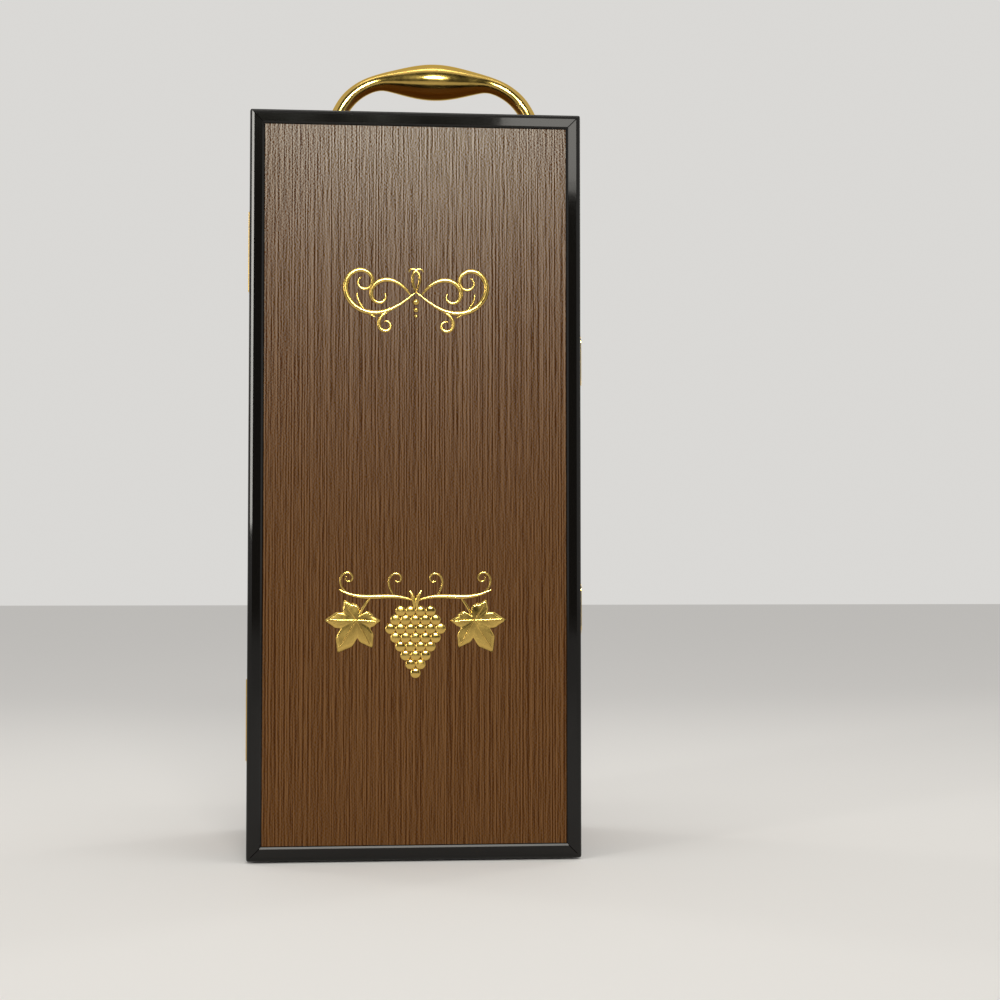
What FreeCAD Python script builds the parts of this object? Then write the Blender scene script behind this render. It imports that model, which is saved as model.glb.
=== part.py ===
import FreeCAD, Part
import math
import os

# Upright gift box for one bottle of wine. A mitred case with a carrying handle stands on a felt
# sheet, and a shallow mitred door swings on two butt hinges and is held shut by two hasps.
# Millimetres. X runs to the right, Y from the front to the back and Z up. The origin is on the
# ground, in the middle of the closed box.

# Overall sizes of the closed box
BOX_WIDTH = 153.0
BOX_HEIGHT = 345.0
DOOR_DEPTH = 26.0
CASE_DEPTH = 87.4
SEAM_GAP = 0.6

# Mouldings of the door and boards of the case
WALL = 9.0
BORDER = 6.6
OUTER_ROUND = 2.0
SEAM_ROUND = 1.2
CORNER_ROUND = 1.6
BORDER_BEVEL = 0.8
EDGE_BEVEL = 2.1
EDGE_FALL = 0.85
EDGE_ROUND = 1.7
MITRE_SCORE = 0.2
KEY_SIDE = 5.0
KEY_THICK = 2.0
KEY_FIT = 0.1
KEY_PITCH = 24.0
CASE_KEY_ROWS = 3

# Panels, facings and the felt under the case
PANEL_RECESS = 0.8
PANEL_BOARD = 4.0
FACING = 0.8
SHADOW_GAP = 0.4
FELT = 0.8
FELT_INSET = 8.0

# Moulded tray and the bottle that it takes
BOTTLE_DIAMETER = 90.0
BOTTLE_HEIGHT = 315.0
NECK_DIAMETER = 35.0
BODY_HEIGHT = 190.0
SHOULDER_HEIGHT = 46.0
BOTTLE_FIT = 1.0
TRAY_FIT = 0.3
TRAY_FLOOR = 4.0
TRAY_FOOT = 4.0
TRAY_SETBACK = 5.0
TRAY_CORNER = 8.0
TRAY_RIM_ROUND = 2.0

# Padded lining of the door
PAD_MARGIN = 1.0
PAD_RIM = 3.2
PAD_CROWN = 6.4
PAD_CORNER = 6.0
PAD_DRAW = 1.2
PAD_ROUND = 2.0

# Butt hinges
HINGE_LENGTH = 38.0
HINGE_INSET = 62.0
HINGE_KNUCKLES = 5
HINGE_BARREL = 1.8
HINGE_PIN = 0.85
HINGE_LEAF = 0.9
LEAF_GAP = 0.2
LEAF_MARGIN = 1.6
LEAF_CORNER = 1.2
MORTISE_FIT = 0.15
PIN_FIT = 0.05
PIN_HEAD = 1.4
PIN_HEAD_HEIGHT = 0.8
KNUCKLE_GAP = 0.15
BARREL_CLEARANCE = 0.3

# Countersunk screws of the hinges and hasps
SCREW_SHANK = 1.0
SCREW_HEAD = 1.8
SCREW_LENGTH = 6.5
SCREW_FIT = 0.05
HINGE_SCREW_PITCH = 13.0

# Hasps on the right side
HASP_OFFSET = 58.0
HASP_SHEET = 0.9
HASP_GAP = 0.25
HASP_FLOOR = 0.2
HASP_PIN = 0.7
HASP_WIDTH = 11.0
HASP_BEFORE_SEAM = 4.0
HASP_AFTER_NOSE = 6.0
HASP_TIP_FLAT = 1.1
HASP_ROLL = 1.1
HASP_ROLL_LENGTH = 5.5
PLATE_HEIGHT = 25.0
PLATE_LENGTH = 14.0
PLATE_ROUND = 4.5
PLATE_SCREW_EDGE = 3.6
NOSE_FROM_SEAM = 10.0
NOSE_RADIUS = 2.1
NOSE_PROUD = 1.2
NOSE_ROUND = 0.9
WINDOW_FIT = 0.5
WINDOW_ROUND = 1.0

# Bow handle
HANDLE_LEFT_ROOM = 23.9
HANDLE_RIGHT_ROOM = 1.9
HANDLE_DEPTH = 4.0
HANDLE_RISE = 30.4
HANDLE_BEND = 28.0
GRIP_RADIUS = 8.8
GRIP_HALF = 30.0
GRIP_POWER = 1.5
LEG_RADIUS = 3.8
HANDLE_SECTIONS = 21
COLLAR_RADIUS = 7.2
COLLAR_FLANGE = 1.4
COLLAR_NECK = 5.2
COLLAR_HEIGHT = 4.6
COLLAR_FIT = 0.4
BOLT_RADIUS = 1.95
BOLT_FIT = 0.05
BOLT_HOLE_FIT = 0.25
BOLT_DEPTH = 7.5
BOLT_HEAD = 3.6
BOLT_HEAD_HEIGHT = 2.4
WASHER_RADIUS = 5.0
WASHER_THICK = 1.0
COUNTERBORE_FIT = 0.3
COUNTERBORE_SPARE = 0.4

SAME_POINT = 1e-6
V = FreeCAD.Vector
HALF_WIDTH = BOX_WIDTH / 2
BOX_DEPTH = DOOR_DEPTH + SEAM_GAP + CASE_DEPTH
FRONT = -BOX_DEPTH / 2
BACK = BOX_DEPTH / 2
DOOR_REAR = FRONT + DOOR_DEPTH
CASE_FRONT = BACK - CASE_DEPTH
SEAM = (DOOR_REAR + CASE_FRONT) / 2
BOTTOM = FELT
TOP = BOX_HEIGHT
FRAME_HEIGHT = TOP - BOTTOM
MIDDLE = (TOP + BOTTOM) / 2
PANEL_SEAT = PANEL_RECESS + FACING + PANEL_BOARD
MITRE_REACH = 2 * WALL
INNER_HALF = HALF_WIDTH - WALL
INNER_HEIGHT = FRAME_HEIGHT - 2 * WALL
HANDLE_SINK = WASHER_RADIUS + COUNTERBORE_FIT
HANDLE_FEET = (HANDLE_LEFT_ROOM + HANDLE_SINK - INNER_HALF, INNER_HALF - HANDLE_RIGHT_ROOM - HANDLE_SINK)
HANDLE_SPAN = HANDLE_FEET[1] - HANDLE_FEET[0]
HANDLE_OFFSET = sum(HANDLE_FEET) / 2
SIDES = {
    "bottom": (BOX_WIDTH, FRAME_HEIGHT / 2, 0),
    "left": (FRAME_HEIGHT, HALF_WIDTH, 90),
    "top": (BOX_WIDTH, FRAME_HEIGHT / 2, 180),
    "right": (FRAME_HEIGHT, HALF_WIDTH, 270),
}

# Planes in which outlines are drawn: across the front, and along a side
FACE_ON = FreeCAD.Rotation(V(1, 0, 0), V(0, 0, 1), V(0, -1, 0), "XYZ")
SIDE_ON = FreeCAD.Rotation(V(0, 1, 0), V(0, 0, 1), V(1, 0, 0), "XYZ")


def outline(corners):
    """Closed wire through (x, y) or (x, y, radius) corners, rounded by tangent arcs."""
    spots = [V(c[0], c[1], 0) for c in corners]
    stops = []
    for i, corner in enumerate(corners):
        here = spots[i]
        back = (spots[i - 1] - here).normalize()
        ahead = (spots[(i + 1) % len(spots)] - here).normalize()
        radius = corner[2] if len(corner) > 2 else 0
        half = back.getAngle(ahead) / 2
        run = radius / math.tan(half)
        middle = here + (back + ahead).normalize() * (radius / math.sin(half) - radius)
        stops.append((here + back * run, middle, here + ahead * run))
    edges = []
    for i, (start, middle, end) in enumerate(stops):
        if start.distanceToPoint(end) > SAME_POINT:
            edges.append(Part.Arc(start, middle, end).toShape())
        following = stops[(i + 1) % len(stops)][0]
        if end.distanceToPoint(following) > SAME_POINT:
            edges.append(Part.LineSegment(end, following).toShape())
    return Part.Wire(edges)


def plate(corners, plane, base, thick):
    """Flat plate: an outline drawn in a plane at a base point and given a thickness along its normal."""
    wire = outline(corners)
    wire.Placement = FreeCAD.Placement(base, plane)
    return Part.Face(wire).extrude(plane.multVec(V(0, 0, thick)))


def block(low, high):
    """Box between two corners."""
    size = [b - a for a, b in zip(low, high)]
    return Part.makeBox(*size, V(*low))


def rod(radius, start, along):
    """Round bar from a point along a vector."""
    return Part.makeCylinder(radius, along.Length, start, along)


def joined(shapes):
    """One solid from shapes that run into each other."""
    return shapes[0].fuse(shapes[1:]).removeSplitter()


def save(name, shapes):
    """Write one node: a solid, or a group of separate solids."""
    group = shapes if isinstance(shapes, list) else [shapes]
    solids = [s for shape in group for s in shape.Solids]
    shape = solids[0] if len(solids) == 1 else Part.makeCompound(solids)
    shape.exportStep("parts/" + name + ".step")


def turned(shape, turn):
    """Turn a piece drawn at the bottom of the frame to its own side and lift it into place."""
    shape.rotate(V(0, 0, 0), V(0, 1, 0), turn)
    shape.translate(V(0, 0, MIDDLE))
    return shape


def mitred(section, side):
    """One side of a mitred frame. The section holds (depth, inset from the outer face) corners."""
    length, half, turn = SIDES[side]
    drawn = [(c[0], c[1] - half, *c[2:]) for c in section]
    bar = plate(drawn, SIDE_ON, V(-length / 2, 0, 0), length)
    short = length / 2 - MITRE_REACH
    cut = [(-length / 2, -half), (length / 2, -half)]
    cut += [(short, MITRE_REACH - half), (-short, MITRE_REACH - half)]
    return turned(bar.common(plate(cut, FACE_ON, V(0, BACK, 0), BOX_DEPTH)), turn)


def rounded_corners():
    """Upright block whose rounded corners trim the tips of the mitres."""
    ends = [(x, z, CORNER_ROUND) for x, z in rectangle(HALF_WIDTH, FRAME_HEIGHT / 2)]
    return plate(ends, FACE_ON, V(0, BACK, MIDDLE), BOX_DEPTH)


def rectangle(half_x, half_y):
    """Four corners of a rectangle about the middle."""
    return [(-half_x, -half_y), (half_x, -half_y), (half_x, half_y), (-half_x, half_y)]


def corner_keys(front, back, count, fit=0):
    """Square keys in the mitres of the four corners, in rows to the back, or their pockets with a fit."""
    keys = []
    first = (front + back) / 2 - KEY_PITCH * (count - 1) / 2
    half = KEY_SIDE / 2 + fit
    thick = KEY_THICK + 2 * fit
    for x, z in rectangle(HALF_WIDTH - WALL / 2, FRAME_HEIGHT / 2 - WALL / 2):
        for i in range(count):
            key = plate(rectangle(half, half), FACE_ON, V(0, thick / 2, 0), thick)
            key.rotate(V(0, 0, 0), V(0, 1, 0), 45)
            key.translate(V(x, first + i * KEY_PITCH, MIDDLE + z))
            keys.append(key)
    return keys


def mitre_scores():
    """Square bars lying in the front, whose lower edges score a fine line along each mitre."""
    bars = []
    half = MITRE_SCORE * math.sqrt(0.5)
    reach = WALL * math.sqrt(0.5)
    for x, z in rectangle(HALF_WIDTH - WALL / 2, FRAME_HEIGHT / 2 - WALL / 2):
        bar = block((-half, -half, -reach), (half, half, reach))
        bar.rotate(V(0, 0, 0), V(0, 0, 1), 45)
        bar.rotate(V(0, 0, 0), V(0, 1, 0), math.copysign(45, x * z))
        bar.translate(V(x, FRONT, MIDDLE + z))
        bars.append(bar)
    return bars


def side_sheet(side, margin):
    """Facing sheet let flush into the outside of a case board, a margin in from the board's edges."""
    length, half, turn = SIDES[side]
    low = (margin - length / 2, CASE_FRONT + margin, -half)
    high = (length / 2 - margin, BACK - margin, FACING - half)
    return turned(block(low, high), turn)


def panel(front, thick):
    """Sheet inside a raised border, clear of it by the shadow gap."""
    inset = BORDER + SHADOW_GAP
    low = (inset - HALF_WIDTH, front, BOTTOM + inset)
    high = (HALF_WIDTH - inset, front + thick, TOP - inset)
    return block(low, high)


def screw(seat, inward, sheet):
    """Countersunk screw. The seat is the middle of the head, on the outer face of the sheet it holds."""
    head = Part.makeCone(SCREW_HEAD, SCREW_SHANK, sheet, seat, inward)
    return joined([head, rod(SCREW_SHANK, seat + inward * sheet, inward * SCREW_LENGTH)])


def screw_hole(seat, inward, sheet):
    """Countersink and pilot hole for a screw, with its fit."""
    head = Part.makeCone(SCREW_HEAD + SCREW_FIT, SCREW_SHANK + SCREW_FIT, sheet, seat, inward)
    return head.fuse(rod(SCREW_SHANK + SCREW_FIT, seat, inward * (sheet + SCREW_LENGTH + SCREW_FIT)))


def hinge(middle):
    """One butt hinge on the left side: its pieces, and what is cut from the door and the case."""
    axis = V(-HALF_WIDTH, SEAM, middle - HINGE_LENGTH / 2)
    pitch = HINGE_LENGTH / HINGE_KNUCKLES
    leaf_start = -HALF_WIDTH + HINGE_BARREL + BARREL_CLEARANCE
    leaf_end = -HALF_WIDTH + WALL - LEAF_MARGIN
    tab_start = -HALF_WIDTH + (HINGE_BARREL + HINGE_PIN) / 2
    up = V(0, 0, HINGE_LENGTH)
    bore = rod(HINGE_PIN + PIN_FIT, axis, up)
    cove_more = V(0, 0, PIN_HEAD_HEIGHT + BARREL_CLEARANCE)
    cove = rod(HINGE_BARREL + BARREL_CLEARANCE, axis - cove_more, up + cove_more * 2)
    pieces = {}
    for body, way in (("case", 1), ("door", -1)):
        near = SEAM + way * LEAF_GAP / 2
        far = near + way * HINGE_LEAF
        low_y, high_y = sorted((near, far))
        half = HINGE_LENGTH / 2
        sheet = [(leaf_start, -half), (leaf_end, -half, LEAF_CORNER)]
        sheet += [(leaf_end, half, LEAF_CORNER), (leaf_start, half)]
        leaf = [plate(sheet, FACE_ON, V(0, high_y, middle), HINGE_LEAF)]
        for i in range(HINGE_KNUCKLES):
            if (i % 2 == 0) == (body == "case"):
                low = axis.z + i * pitch + KNUCKLE_GAP / 2
                high = axis.z + (i + 1) * pitch - KNUCKLE_GAP / 2
                leaf.append(rod(HINGE_BARREL, V(axis.x, axis.y, low), V(0, 0, high - low)))
                leaf.append(block((tab_start, low_y, low), (leaf_start, high_y, high)))
        seats = [V((leaf_start + leaf_end) / 2, near, middle + k * HINGE_SCREW_PITCH) for k in (-1, 0, 1)]
        inward = V(0, way, 0)
        holes = [screw_hole(seat, inward, HINGE_LEAF) for seat in seats]
        low_y, high_y = sorted((SEAM, far))
        mortise = block(
            (-HALF_WIDTH, low_y, middle - half - MORTISE_FIT),
            (leaf_end + MORTISE_FIT, high_y, middle + half + MORTISE_FIT),
        )
        pieces[body + "_leaf"] = joined(leaf).cut([bore] + holes)
        pieces[body + "_screws"] = [screw(seat, inward, HINGE_LEAF) for seat in seats]
        pieces[body + "_cuts"] = [cove, mortise] + holes
    pin = rod(HINGE_PIN, axis, up)
    for end, way in ((axis, -1), (axis + up, 1)):
        pin = pin.fuse(rod(PIN_HEAD, end, V(0, 0, way * PIN_HEAD_HEIGHT)))
    pieces["pin"] = pin.removeSplitter()
    return pieces


def hasp_outline(start, end):
    """Swinging hasp seen from the side: a strip with a round end."""
    half = HASP_WIDTH / 2
    tip = half - HASP_TIP_FLAT
    return [(start, -half), (end, -half, tip), (end, half, tip), (start, half)]


def hasp(middle):
    """One hasp on the right side: door plate, swinging hasp, pin, keeper and screws."""
    side = V(HALF_WIDTH, 0, middle)
    axis_out = HASP_SHEET + HASP_GAP + HASP_SHEET / 2
    barrel = axis_out - HASP_FLOOR
    axis_y = SEAM - HASP_BEFORE_SEAM
    nose_y = SEAM + NOSE_FROM_SEAM
    half = PLATE_HEIGHT / 2
    plate_end = axis_y - barrel - BARREL_CLEARANCE
    plate_start = plate_end - PLATE_LENGTH
    out = V(1, 0, 0)
    pin_half = half - PLATE_ROUND / 2
    axis = V(HALF_WIDTH + axis_out, axis_y, middle)
    bore = rod(HASP_PIN + PIN_FIT, axis - V(0, 0, half), V(0, 0, 2 * half))

    door_sheet = [(plate_start, -half, PLATE_ROUND), (plate_end, -half)]
    door_sheet += [(plate_end, half), (plate_start, half, PLATE_ROUND)]
    door_plate = [plate(door_sheet, SIDE_ON, side, HASP_SHEET)]
    ear_start = HASP_WIDTH / 2 + KNUCKLE_GAP
    for way in (-1, 1):
        low, high = sorted((middle + way * ear_start, middle + way * pin_half))
        door_plate.append(rod(barrel, V(axis.x, axis.y, low), V(0, 0, high - low)))
        tab_end = (HALF_WIDTH + HASP_SHEET, axis_y - HASP_PIN, high)
        door_plate.append(block((HALF_WIDTH, plate_end, low), tab_end))

    strip_base = V(HALF_WIDTH + HASP_SHEET + HASP_GAP, 0, middle)
    hasp_end = nose_y + HASP_AFTER_NOSE
    strip = plate(hasp_outline(axis_y, hasp_end), SIDE_ON, strip_base, HASP_SHEET)
    knuckle = rod(barrel, axis - V(0, 0, HASP_WIDTH / 2), V(0, 0, HASP_WIDTH))
    roll_at = V(strip_base.x + HASP_SHEET, hasp_end - HASP_ROLL, middle - HASP_ROLL_LENGTH / 2)
    roll = rod(HASP_ROLL, roll_at, V(0, 0, HASP_ROLL_LENGTH))
    reach = NOSE_RADIUS + WINDOW_FIT
    hole = [(nose_y + y, z, WINDOW_ROUND) for y, z in rectangle(reach, reach)]
    window = plate(hole, SIDE_ON, strip_base, HASP_SHEET)

    keeper_sheet = [(nose_y + y, z, PLATE_ROUND) for y, z in rectangle(PLATE_LENGTH / 2, half)]
    nose_height = HASP_SHEET + HASP_GAP + HASP_SHEET + NOSE_PROUD
    nose = rod(NOSE_RADIUS, V(HALF_WIDTH, nose_y, middle), out * nose_height)
    tip = [e for e in nose.Edges if e.BoundBox.XMin > HALF_WIDTH + HASP_SHEET]
    nose = nose.makeFillet(NOSE_ROUND, tip)

    screw_z = half - PLATE_SCREW_EDGE
    pieces = {}
    for body, y in (("door", (plate_start + plate_end) / 2), ("case", nose_y)):
        seats = [V(HALF_WIDTH + HASP_SHEET, y, middle + way * screw_z) for way in (-1, 1)]
        pieces[body + "_screws"] = [screw(seat, out * -1, HASP_SHEET) for seat in seats]
        pieces[body + "_cuts"] = [screw_hole(seat, out * -1, HASP_SHEET) for seat in seats]
    pieces["plate"] = joined(door_plate).cut([bore] + pieces["door_cuts"])
    pieces["hasp"] = joined([strip, knuckle, roll]).cut([bore, window])
    pieces["pin"] = rod(HASP_PIN, axis - V(0, 0, pin_half), V(0, 0, 2 * pin_half))
    keeper = plate(keeper_sheet, SIDE_ON, side, HASP_SHEET)
    pieces["keeper"] = joined([keeper, nose]).cut(pieces["case_cuts"])
    return pieces


def bottle_recess(front, floor):
    """Die-cut recess in the outline of a bottle lying on its back, from the tray's front to its floor."""
    body = BOTTLE_DIAMETER / 2 + BOTTLE_FIT
    neck = NECK_DIAMETER / 2 + BOTTLE_FIT
    low = BOTTOM + WALL + TRAY_FIT + TRAY_FOOT
    shoulder = low + BODY_HEIGHT
    root = shoulder + SHOULDER_HEIGHT
    high = low + BOTTLE_HEIGHT + BOTTLE_FIT
    turn = 2 * math.atan((body - neck) / SHOULDER_HEIGHT)
    bend = SHOULDER_HEIGHT / (2 * math.sin(turn))

    def spot(x, z):
        return V(x, front, z)

    def on_arc(centre_x, centre_z, angle, way):
        return spot(way * (centre_x + bend * math.cos(angle)), centre_z + bend * math.sin(angle))

    def side(way):
        mid = spot(way * (body + neck) / 2, (shoulder + root) / 2)
        upper_mid = on_arc(neck + bend, root, math.pi + turn / 2, way)
        return [
            Part.LineSegment(spot(way * body, low), spot(way * body, shoulder)),
            Part.Arc(spot(way * body, shoulder), on_arc(body - bend, shoulder, turn / 2, way), mid),
            Part.Arc(mid, upper_mid, spot(way * neck, root)),
            Part.LineSegment(spot(way * neck, root), spot(way * neck, high)),
        ]

    ends = [Part.LineSegment(spot(half, z), spot(-half, z)) for half, z in ((body, low), (neck, high))]
    edges = [curve.toShape() for curve in side(1) + ends + side(-1)]
    wire = Part.Wire(Part.__sortEdges__(edges))
    recess = Part.Face(wire).extrude(V(0, floor - front, 0))
    through = [e for e in recess.Edges if e.BoundBox.YLength > e.BoundBox.XLength + e.BoundBox.ZLength]
    corners = [e for e in through if min(abs(e.BoundBox.ZMin - z) for z in (low, high)) < TRAY_FIT]
    return recess.makeFillet(TRAY_CORNER, corners)


def bottle_tray():
    """Foam tray that fills the case, with a recess for the bottle and a softened rim."""
    inset = WALL + TRAY_FIT
    half = HALF_WIDTH - inset
    front = CASE_FRONT + TRAY_SETBACK
    rear = BACK - PANEL_SEAT
    body = block((-half, front, BOTTOM + inset), (half, rear, TOP - inset))
    tray = body.cut(bottle_recess(front, rear - TRAY_FLOOR))
    on_front = [e for e in tray.Edges if e.BoundBox.YMax < front + TRAY_FIT]
    rim = [e for e in on_front if max(e.BoundBox.XMax, -e.BoundBox.XMin) < half - TRAY_FIT]
    return tray.makeFillet(TRAY_RIM_ROUND, rim)


def drawn_outline(half_x, half_z):
    """Closed wire whose sides are drawn in between rounded corners."""
    flat_x = half_x - PAD_CORNER
    flat_z = half_z - PAD_CORNER
    slant = PAD_CORNER * math.sqrt(0.5)
    corners = []
    for way_x, way_z in ((1, 1), (-1, 1), (-1, -1), (1, -1)):
        spots = [(half_x, flat_z), (flat_x + slant, flat_z + slant), (flat_x, half_z)]
        spots = [V(way_x * x, 0, way_z * z) for x, z in spots]
        corners.append(spots if way_x == way_z else spots[::-1])
    dips = [V(0, 0, half_z - PAD_DRAW), V(PAD_DRAW - half_x, 0, 0)]
    dips += [dip * -1 for dip in dips]
    edges = []
    for i, (dip, spots) in enumerate(zip(dips, corners)):
        edges.append(Part.Arc(*spots).toShape())
        edges.append(Part.Arc(spots[2], dip, corners[(i + 1) % len(corners)][0]).toShape())
    return Part.Wire(edges)


def door_pad():
    """Pad on the inside of the door: drawn-in sides, a crowned face and a soft edge between them."""
    half_z = INNER_HEIGHT / 2
    crown = Part.BezierSurface()
    crown.increase(2, 2)
    for i, x in enumerate((-INNER_HALF, 0, INNER_HALF)):
        for j, z in enumerate((-half_z, 0, half_z)):
            swell = (PAD_CROWN - PAD_RIM) * ((x == 0) + (z == 0))
            crown.setPole(i + 1, j + 1, V(x, PAD_RIM + swell, z))
    above = crown.toShape().extrude(V(0, 2 * PAD_CROWN, 0))
    foam = Part.Face(drawn_outline(INNER_HALF - PAD_MARGIN, half_z - PAD_MARGIN))
    pad = foam.extrude(V(0, 2 * PAD_CROWN, 0)).cut(above)
    edge = [e for e in pad.Edges if e.BoundBox.YMin > PAD_RIM / 2]
    pad = pad.makeFillet(PAD_ROUND, edge)
    pad.translate(V(0, FRONT + PANEL_SEAT, MIDDLE))
    return pad


def handle_section(along):
    """Round section of the handle at a distance along its bow from the middle."""
    straight = HANDLE_SPAN / 2 - HANDLE_BEND
    quarter = HANDLE_BEND * math.pi / 2
    way = 1 if along >= 0 else -1
    run = abs(along)
    angle = min(max(run - straight, 0) / HANDLE_BEND, math.pi / 2)
    drop = max(run - straight - quarter, 0)
    x = min(run, straight) + HANDLE_BEND * math.sin(angle)
    z = HANDLE_RISE - HANDLE_BEND * (1 - math.cos(angle)) - drop
    swell = math.cos(min(run / GRIP_HALF, 1) * math.pi / 2) ** GRIP_POWER
    radius = LEG_RADIUS + (GRIP_RADIUS - LEG_RADIUS) * swell
    tangent = V(math.cos(angle), 0, -way * math.sin(angle))
    ring = Part.Wire(Part.makeCircle(radius))
    spin = FreeCAD.Rotation(V(0, 1, 0), tangent.cross(V(0, 1, 0)), tangent, "ZXY")
    ring.Placement = FreeCAD.Placement(V(HANDLE_OFFSET + way * x, HANDLE_DEPTH, TOP + z), spin)
    return ring


def handle_parts():
    """Bow handle with its two collars, bolts and washers, and the holes in the top of the case."""
    foot = HANDLE_RISE - HANDLE_BEND
    half = HANDLE_SPAN / 2 - HANDLE_BEND + HANDLE_BEND * math.pi / 2 + foot
    stations = [half * (2 * i / (HANDLE_SECTIONS - 1) - 1) for i in range(HANDLE_SECTIONS)]
    bow = Part.makeLoft([handle_section(s) for s in stations], True)
    seat = TOP - WALL + BOLT_HEAD_HEIGHT + WASHER_THICK + COUNTERBORE_SPARE
    up = V(0, 0, 1)
    parts = {"collars": [], "bolts": [], "washers": [], "cuts": []}
    for foot_x in HANDLE_FEET:
        base = V(foot_x, HANDLE_DEPTH, 0)
        bore = LEG_RADIUS + COLLAR_FIT
        curve = [(bore, 0), (COLLAR_RADIUS, 0), (COLLAR_RADIUS, COLLAR_FLANGE, COLLAR_FLANGE / 2)]
        curve += [(COLLAR_NECK, COLLAR_FLANGE, COLLAR_FLANGE)]
        curve += [(COLLAR_NECK, COLLAR_HEIGHT, COLLAR_FLANGE / 3)]
        ring = outline(curve + [(bore, COLLAR_HEIGHT)])
        ring.Placement = FreeCAD.Placement(V(0, 0, 0), FACE_ON)
        collar = Part.Face(ring).revolve(V(0, 0, 0), up, 360)
        collar.translate(base + up * TOP)
        parts["collars"].append(collar)
        shank = rod(BOLT_RADIUS, base + up * seat, up * (TOP + BOLT_DEPTH - seat))
        under = seat - WASHER_THICK
        head = rod(BOLT_HEAD, base + up * under, up * -BOLT_HEAD_HEIGHT)
        neck = rod(BOLT_RADIUS, base + up * under, up * WASHER_THICK)
        parts["bolts"].append(joined([shank, neck, head]))
        ring = rod(WASHER_RADIUS, base + up * under, up * WASHER_THICK)
        hole_length = TOP + BOLT_DEPTH + BOLT_FIT - under
        hole = rod(BOLT_RADIUS + BOLT_FIT, base + up * under, up * hole_length)
        parts["washers"].append(ring.cut(hole))
        bow = bow.cut(hole)
        through = rod(BOLT_RADIUS + BOLT_HOLE_FIT, base + up * under, up * (TOP - under))
        sink = rod(HANDLE_SINK, base + up * (TOP - WALL), up * (seat - TOP + WALL))
        parts["cuts"] += [through, sink]
    parts["bow"] = bow
    return parts


os.makedirs("parts", exist_ok=True)

# Fittings come first, because their holes and pockets are cut from the mouldings and boards
hinges = {"upper": hinge(TOP - HINGE_INSET), "lower": hinge(BOTTOM + HINGE_INSET)}
hasps = {"upper": hasp(MIDDLE + HASP_OFFSET), "lower": hasp(MIDDLE - HASP_OFFSET)}
handle = handle_parts()
door_keys = corner_keys(FRONT + PANEL_SEAT, DOOR_REAR, 1)
door_pockets = corner_keys(FRONT + PANEL_SEAT, DOOR_REAR, 1, KEY_FIT)
case_keys = corner_keys(CASE_FRONT, BACK - PANEL_SEAT, CASE_KEY_ROWS)
case_pockets = corner_keys(CASE_FRONT, BACK - PANEL_SEAT, CASE_KEY_ROWS, KEY_FIT)
scores = mitre_scores()
trim = rounded_corners()

door_section = [
    (FRONT + EDGE_FALL, 0, EDGE_ROUND),
    (FRONT, EDGE_BEVEL),
    (FRONT, BORDER - BORDER_BEVEL),
    (FRONT + BORDER_BEVEL, BORDER),
    (FRONT + PANEL_SEAT, BORDER),
    (FRONT + PANEL_SEAT, WALL),
    (DOOR_REAR, WALL),
    (DOOR_REAR, 0, SEAM_ROUND),
]
case_section = [
    (BACK, 0, OUTER_ROUND),
    (CASE_FRONT, 0, SEAM_ROUND),
    (CASE_FRONT, WALL),
    (BACK - PANEL_SEAT, WALL),
    (BACK - PANEL_SEAT, BORDER),
    (BACK - BORDER_BEVEL, BORDER),
    (BACK, BORDER - BORDER_BEVEL),
]

door_cuts = {side: [] for side in SIDES}
case_cuts = {side: [] for side in SIDES}
for level in ("upper", "lower"):
    door_cuts["left"] += hinges[level]["door_cuts"]
    case_cuts["left"] += hinges[level]["case_cuts"]
    door_cuts["right"] += hasps[level]["door_cuts"]
    case_cuts["right"] += hasps[level]["case_cuts"]
case_cuts["top"] += handle["cuts"]

# Door: four mitred mouldings round a faced board, with a pad inside
for side in SIDES:
    moulding = mitred(door_section, side).common(trim)
    save("door_moulding_" + side, moulding.cut(scores + door_pockets + door_cuts[side]))
save("door_corner_keys", door_keys)
save("door_board", panel(FRONT + PANEL_RECESS + FACING, PANEL_BOARD))
save("door_facing", panel(FRONT + PANEL_RECESS, FACING))
save("door_pad", door_pad())

# Case: four mitred boards with facings let in, a faced back and felt underneath
for side in SIDES:
    wall = mitred(case_section, side).common(trim).cut(case_pockets + case_cuts[side])
    if side != "bottom":
        wall = wall.cut(side_sheet(side, BORDER))
        save("case_facing_" + side, side_sheet(side, BORDER + SHADOW_GAP).cut(case_cuts[side]))
    save("case_board_" + side, wall)
save("case_corner_keys", case_keys)
save("back_board", panel(BACK - PANEL_SEAT, PANEL_BOARD))
save("back_facing", panel(BACK - PANEL_RECESS - FACING, FACING))
felt_x = HALF_WIDTH - FELT_INSET
save("base_felt", block((-felt_x, CASE_FRONT + FELT_INSET, 0), (felt_x, BACK - FELT_INSET, FELT)))
save("bottle_tray", bottle_tray())

# Handle
save("handle", handle["bow"])
save("handle_collars", handle["collars"])
save("handle_bolts", handle["bolts"])
save("handle_washers", handle["washers"])

# Hinges and hasps
for level in ("upper", "lower"):
    save(level + "_hinge_case_leaf", hinges[level]["case_leaf"])
    save(level + "_hinge_door_leaf", hinges[level]["door_leaf"])
    save(level + "_hinge_pin", hinges[level]["pin"])
    save(level + "_hasp_plate", hasps[level]["plate"])
    save(level + "_hasp", hasps[level]["hasp"])
    save(level + "_hasp_pin", hasps[level]["pin"])
    save(level + "_hasp_keeper", hasps[level]["keeper"])
for body in ("case", "door"):
    save("hinge_screws_" + body, hinges["upper"][body + "_screws"] + hinges["lower"][body + "_screws"])
    save("hasp_screws_" + body, hasps["upper"][body + "_screws"] + hasps["lower"][body + "_screws"])
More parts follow.
